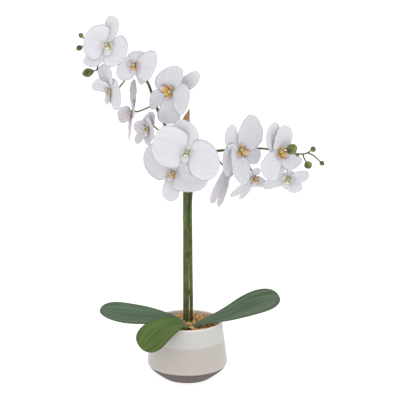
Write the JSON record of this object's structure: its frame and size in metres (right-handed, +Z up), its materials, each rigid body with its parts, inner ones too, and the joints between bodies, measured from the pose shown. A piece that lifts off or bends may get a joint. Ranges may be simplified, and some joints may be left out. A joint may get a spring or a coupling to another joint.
{
  "type": "potted orchid",
  "caption": "White moth orchid with two arching flower stems, dark strap leaves and a stake, standing in a rounded two-tone ceramic pot of gravel.",
  "frame": {"origin": "centre of the pot's foot, on the surface it stands on", "axes": "+Z up; the flowers face -Y; +X is to the right of someone facing the flowers"},
  "size_m": [0.361, 0.1437, 0.5528],
  "materials": {
    "glazed_stoneware": "satin glaze in two pale bands over an unglazed grey-brown base",
    "stone_chips": "loose tan chips, matt",
    "bamboo": "bare split bamboo, matt",
    "stem": "green coated wire stem, satin",
    "leaf": "dark green coated leaf, soft sheen, darker below",
    "bud": "olive green moulded bud, satin",
    "petal": "thin white petal, lets some light through",
    "lip": "cream to yellow lip with purple marks"
  },
  "bodies": {
    "root": {"pot": "glazed_stoneware", "potting_gravel": "stone_chips", "bamboo_stake": "bamboo", "spike_left": "stem", "spike_right": "stem", "leaf_left": "leaf", "leaf_front": "leaf", "leaf_right": "leaf", "bud_left_1": "bud", "bud_left_2": "bud", "bud_left_3": "bud", "bud_right_1": "bud", "bud_right_2": "bud", "bud_right_3": "bud", "bud_right_4": "bud", "left_bloom_1_sepals": "petal", "left_bloom_1_petals": "petal", "left_bloom_1_lip": "lip", "left_bloom_2_sepals": "petal", "left_bloom_2_petals": "petal", "left_bloom_2_lip": "lip", "left_bloom_3_sepals": "petal", "left_bloom_3_petals": "petal", "left_bloom_3_lip": "lip", "left_bloom_4_sepals": "petal", "left_bloom_4_petals": "petal", "left_bloom_4_lip": "lip", "left_bloom_5_sepals": "petal", "left_bloom_5_petals": "petal", "left_bloom_5_lip": "lip", "left_bloom_6_sepals": "petal", "left_bloom_6_petals": "petal", "left_bloom_6_lip": "lip", "front_bloom_sepals": "petal", "front_bloom_petals": "petal", "front_bloom_lip": "lip", "low_bloom_sepals": "petal", "low_bloom_petals": "petal", "low_bloom_lip": "lip", "right_bloom_1_sepals": "petal", "right_bloom_1_petals": "petal", "right_bloom_1_lip": "lip", "right_bloom_2_sepals": "petal", "right_bloom_2_petals": "petal", "right_bloom_2_lip": "lip", "right_bloom_3_sepals": "petal", "right_bloom_3_petals": "petal", "right_bloom_3_lip": "lip", "right_bloom_4_sepals": "petal", "right_bloom_4_petals": "petal", "right_bloom_4_lip": "lip", "right_bloom_5_sepals": "petal", "right_bloom_5_petals": "petal", "right_bloom_5_lip": "lip"}
  },
  "joints": []
}
